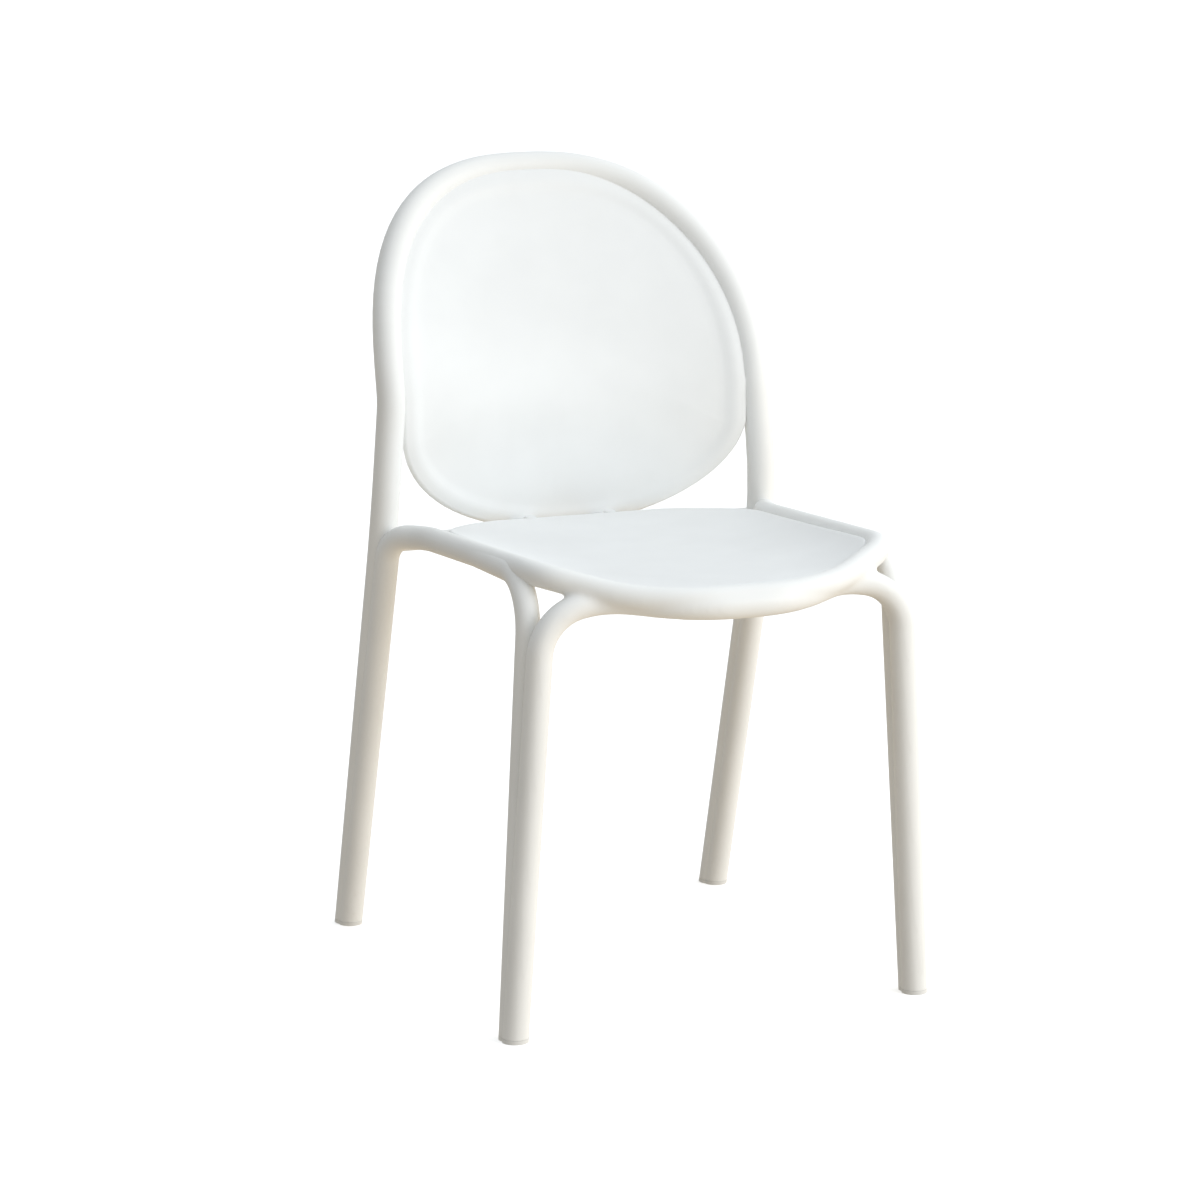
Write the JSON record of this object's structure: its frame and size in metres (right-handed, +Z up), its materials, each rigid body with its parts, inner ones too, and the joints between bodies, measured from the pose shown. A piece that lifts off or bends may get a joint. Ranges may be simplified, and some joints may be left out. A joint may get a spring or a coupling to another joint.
{
  "type": "stacking chair",
  "caption": "Armless stacking chair with a tubular moulded frame, a gently dished seat panel and an oval hollowed back panel inside a round-topped hoop.",
  "frame": {"origin": "on the floor, under the middle of the chair's bounding box", "axes": "+Z up, the chair faces -Y, X = 0 is the plane of symmetry"},
  "size_m": [0.4586, 0.5832, 0.8107],
  "materials": {
    "frame_plastic": "warm white satin, fine moulded grain",
    "panel_plastic": "cool white satin, fine moulded grain",
    "screw_steel": "zinc plated",
    "glide_plastic": "matt white, lightly scuffed"
  },
  "bodies": {
    "root": {"back_hoop": "frame_plastic", "seat_frame": "frame_plastic", "front_frame": "frame_plastic", "left_front_strut": "frame_plastic", "right_front_strut": "frame_plastic", "rear_crossbar": "frame_plastic", "seat_panel": "panel_plastic", "back_panel": "panel_plastic", "seat_panel_screws": "screw_steel", "back_panel_screws": "screw_steel", "crossbar_screws": "screw_steel", "left_front_glide": "glide_plastic", "right_front_glide": "glide_plastic", "left_rear_glide": "glide_plastic", "right_rear_glide": "glide_plastic"}
  },
  "joints": []
}
